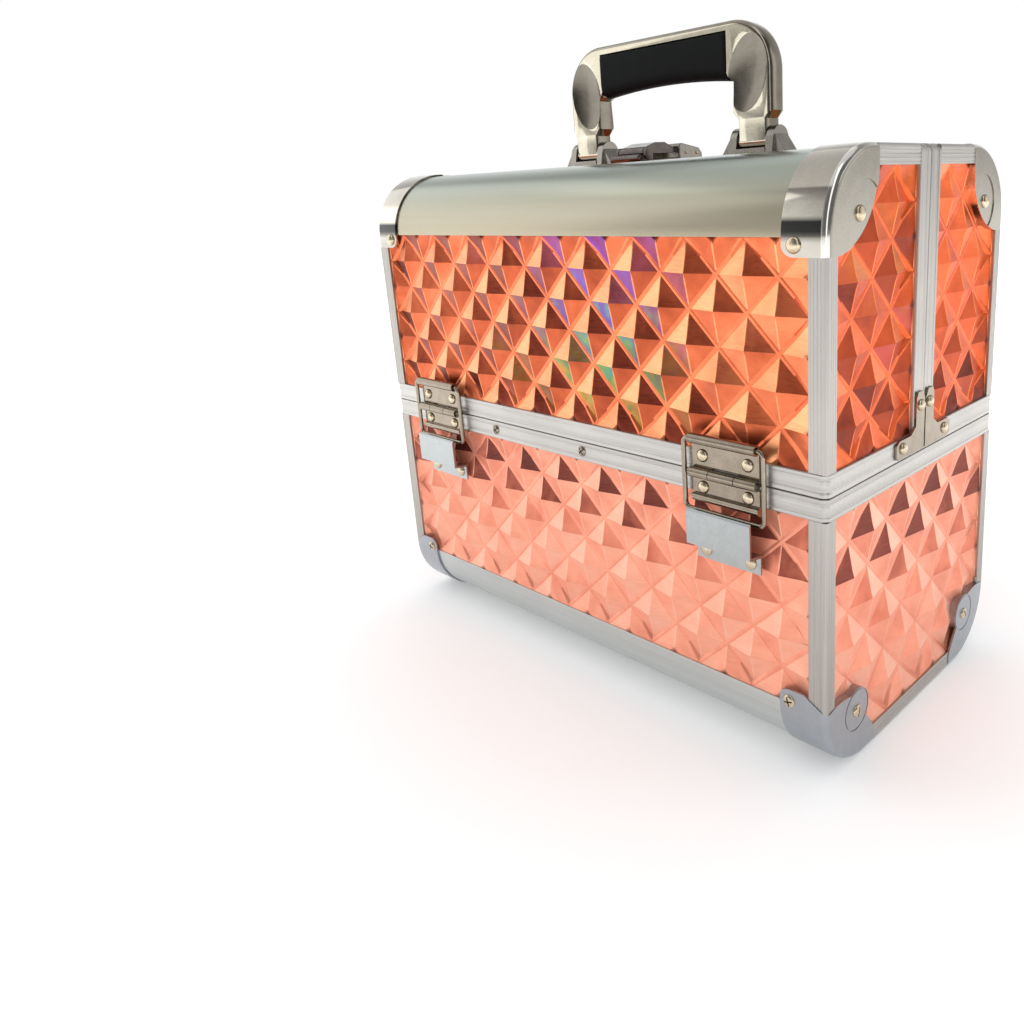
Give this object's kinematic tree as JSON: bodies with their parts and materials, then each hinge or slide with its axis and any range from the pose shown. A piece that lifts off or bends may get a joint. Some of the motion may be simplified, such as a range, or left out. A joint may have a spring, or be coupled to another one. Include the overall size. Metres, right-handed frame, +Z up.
{
  "type": "train case",
  "caption": "Framed hard train case that opens both ways from a split top, with stay hinges, cantilever trays on riveted link straps, and a folding handle.",
  "frame": {"origin": "middle of the footprint, on the surface the case stands on", "axes": "+X along the length of the case, +Y from the front to the back, +Z up"},
  "size_m": [0.3484, 0.195, 0.364],
  "materials": {
    "aluminium_profile": "satin, fine extruded grooves",
    "quarter_round": "satin anodised",
    "embossed_foil": "embossed rose gold foil",
    "lined_board": "thin board with black lining",
    "satin_cap": "satin plated",
    "polished_cap": "polished plating",
    "plated_steel": "bright plated sheet",
    "handle_chrome": "warm polished plating",
    "cast_bracket": "satin plated casting",
    "strap_steel": "plain rolled strip",
    "rivet": "domed",
    "tray_plastic": "fine leather grain",
    "grip": "soft black"
  },
  "bodies": {
    "base": {"base_boards": "lined_board", "base_long_panels": "embossed_foil", "base_end_panels": "embossed_foil", "base_quarter_rounds": "quarter_round", "base_edges": "aluminium_profile", "base_rim": "aluminium_profile", "base_corner_caps": "satin_cap", "stay_lower_leaves": "plated_steel", "stay_keepers": "satin_cap", "base_rivets": "rivet"},
    "front_lid": {"front_lid_boards": "lined_board", "front_lid_face_panel": "embossed_foil", "front_lid_end_panels": "embossed_foil", "front_lid_top_panel": "embossed_foil", "front_lid_quarter_round": "quarter_round", "front_lid_edges": "aluminium_profile", "front_lid_rim": "aluminium_profile", "front_lid_split_rim": "aluminium_profile", "front_lid_corner_caps": "polished_cap", "front_lid_brackets": "plated_steel", "front_upper_leaves": "plated_steel", "latch_base": "plated_steel"},
    "front_stays": {"front_stay_wires": "plated_steel"},
    "front_strap_a": {"front_strap_a": "strap_steel"},
    "front_strap_b": {"front_strap_b": "strap_steel"},
    "front_strap_c": {"front_strap_c": "strap_steel"},
    "front_strap_d": {"front_strap_d": "strap_steel"},
    "front_low": {"front_low_tray": "tray_plastic", "front_low_rivets": "rivet"},
    "front_mid": {"front_mid_tray": "tray_plastic", "front_mid_rivets": "rivet"},
    "front_top": {"front_top_tray": "tray_plastic", "front_top_rivets": "rivet"},
    "back_lid": {"back_lid_boards": "lined_board", "back_lid_face_panel": "embossed_foil", "back_lid_end_panels": "embossed_foil", "back_lid_top_panel": "embossed_foil", "back_lid_quarter_round": "quarter_round", "back_lid_edges": "aluminium_profile", "back_lid_rim": "aluminium_profile", "back_lid_split_rim": "aluminium_profile", "back_lid_corner_caps": "polished_cap", "back_lid_brackets": "plated_steel", "back_upper_leaves": "plated_steel", "handle_brackets": "cast_bracket", "latch_box": "cast_bracket"},
    "back_stays": {"back_stay_wires": "plated_steel"},
    "back_strap_a": {"back_strap_a": "strap_steel"},
    "back_strap_b": {"back_strap_b": "strap_steel"},
    "back_strap_c": {"back_strap_c": "strap_steel"},
    "back_strap_d": {"back_strap_d": "strap_steel"},
    "back_low": {"back_low_tray": "tray_plastic", "back_low_rivets": "rivet"},
    "back_mid": {"back_mid_tray": "tray_plastic", "back_mid_rivets": "rivet"},
    "back_top": {"back_top_tray": "tray_plastic", "back_top_rivets": "rivet"},
    "handle": {"handle_bow": "handle_chrome", "handle_grip": "grip"},
    "latch_lever": {"latch_lever": "plated_steel"}
  },
  "joints": [
    {"name": "front_lid_hinge", "type": "hinge", "parent": "base", "child": "front_lid", "pos_m": [0, -0.0919, 0.145], "axis": [1, 0, 0], "range_deg": [0, 95]},
    {"name": "front_stay_pivot", "type": "hinge", "parent": "front_lid", "child": "front_stays", "pos_m": [0, -0.0919, 0.162], "axis": [1, 0, 0], "range_deg": [-64, 0]},
    {"name": "front_strap_c_pivot", "type": "hinge", "parent": "base", "child": "front_strap_c", "pos_m": [0, -0.0635, 0.128], "axis": [1, 0, 0], "range_deg": [0, 44]},
    {"name": "front_strap_d_pivot", "type": "hinge", "parent": "base", "child": "front_strap_d", "pos_m": [0, -0.0365, 0.128], "axis": [1, 0, 0], "range_deg": [0, 44]},
    {"name": "front_low_tray_pivot", "type": "hinge", "parent": "front_strap_c", "child": "front_low", "pos_m": [0, -0.0365, 0.17], "axis": [1, 0, 0], "range_deg": [-44, 0]},
    {"name": "front_mid_tray_pivot", "type": "hinge", "parent": "front_strap_c", "child": "front_mid", "pos_m": [0, -0.0095, 0.212], "axis": [1, 0, 0], "range_deg": [-44, 0]},
    {"name": "front_strap_a_pivot", "type": "hinge", "parent": "front_mid", "child": "front_strap_a", "pos_m": [0, -0.0365, 0.212], "axis": [1, 0, 0], "range_deg": [0, 44]},
    {"name": "front_strap_b_pivot", "type": "hinge", "parent": "front_mid", "child": "front_strap_b", "pos_m": [0, -0.0635, 0.212], "axis": [1, 0, 0], "range_deg": [0, 44]},
    {"name": "front_top_tray_pivot", "type": "hinge", "parent": "front_strap_a", "child": "front_top", "pos_m": [0, -0.0095, 0.254], "axis": [1, 0, 0], "range_deg": [-44, 0]},
    {"name": "back_lid_hinge", "type": "hinge", "parent": "base", "child": "back_lid", "pos_m": [0, 0.0919, 0.145], "axis": [-1, 0, 0], "range_deg": [0, 95]},
    {"name": "back_stay_pivot", "type": "hinge", "parent": "back_lid", "child": "back_stays", "pos_m": [0, 0.0919, 0.162], "axis": [-1, 0, 0], "range_deg": [-64, 0]},
    {"name": "back_strap_c_pivot", "type": "hinge", "parent": "base", "child": "back_strap_c", "pos_m": [0, 0.0635, 0.128], "axis": [-1, 0, 0], "range_deg": [0, 44]},
    {"name": "back_strap_d_pivot", "type": "hinge", "parent": "base", "child": "back_strap_d", "pos_m": [0, 0.0365, 0.128], "axis": [-1, 0, 0], "range_deg": [0, 44]},
    {"name": "back_low_tray_pivot", "type": "hinge", "parent": "back_strap_c", "child": "back_low", "pos_m": [0, 0.0365, 0.17], "axis": [-1, 0, 0], "range_deg": [-44, 0]},
    {"name": "back_mid_tray_pivot", "type": "hinge", "parent": "back_strap_c", "child": "back_mid", "pos_m": [0, 0.0095, 0.212], "axis": [-1, 0, 0], "range_deg": [-44, 0]},
    {"name": "back_strap_a_pivot", "type": "hinge", "parent": "back_mid", "child": "back_strap_a", "pos_m": [0, 0.0365, 0.212], "axis": [-1, 0, 0], "range_deg": [0, 44]},
    {"name": "back_strap_b_pivot", "type": "hinge", "parent": "back_mid", "child": "back_strap_b", "pos_m": [0, 0.0635, 0.212], "axis": [-1, 0, 0], "range_deg": [0, 44]},
    {"name": "back_top_tray_pivot", "type": "hinge", "parent": "back_strap_a", "child": "back_top", "pos_m": [0, 0.0095, 0.254], "axis": [-1, 0, 0], "range_deg": [-44, 0]},
    {"name": "handle_fold", "type": "hinge", "parent": "back_lid", "child": "handle", "pos_m": [0, 0.012, 0.301], "axis": [-1, 0, 0], "range_deg": [0, 88]},
    {"name": "latch_lift", "type": "hinge", "parent": "front_lid", "child": "latch_lever", "pos_m": [0, -0.019, 0.2984], "axis": [1, 0, 0], "range_deg": [0, 100]}
  ],
  "couplings": [
    {"joint": "front_stay_pivot", "follows": "front_lid_hinge", "ratio": -0.6719},
    {"joint": "front_strap_c_pivot", "follows": "front_lid_hinge", "ratio": 0.46037},
    {"joint": "front_strap_d_pivot", "follows": "front_lid_hinge", "ratio": 0.46037},
    {"joint": "front_low_tray_pivot", "follows": "front_lid_hinge", "ratio": -0.46037},
    {"joint": "front_mid_tray_pivot", "follows": "front_lid_hinge", "ratio": -0.46037},
    {"joint": "front_strap_a_pivot", "follows": "front_lid_hinge", "ratio": 0.46037},
    {"joint": "front_strap_b_pivot", "follows": "front_lid_hinge", "ratio": 0.46037},
    {"joint": "front_top_tray_pivot", "follows": "front_lid_hinge", "ratio": -0.46037},
    {"joint": "back_stay_pivot", "follows": "back_lid_hinge", "ratio": -0.6719},
    {"joint": "back_strap_c_pivot", "follows": "back_lid_hinge", "ratio": 0.46037},
    {"joint": "back_strap_d_pivot", "follows": "back_lid_hinge", "ratio": 0.46037},
    {"joint": "back_low_tray_pivot", "follows": "back_lid_hinge", "ratio": -0.46037},
    {"joint": "back_mid_tray_pivot", "follows": "back_lid_hinge", "ratio": -0.46037},
    {"joint": "back_strap_a_pivot", "follows": "back_lid_hinge", "ratio": 0.46037},
    {"joint": "back_strap_b_pivot", "follows": "back_lid_hinge", "ratio": 0.46037},
    {"joint": "back_top_tray_pivot", "follows": "back_lid_hinge", "ratio": -0.46037}
  ]
}
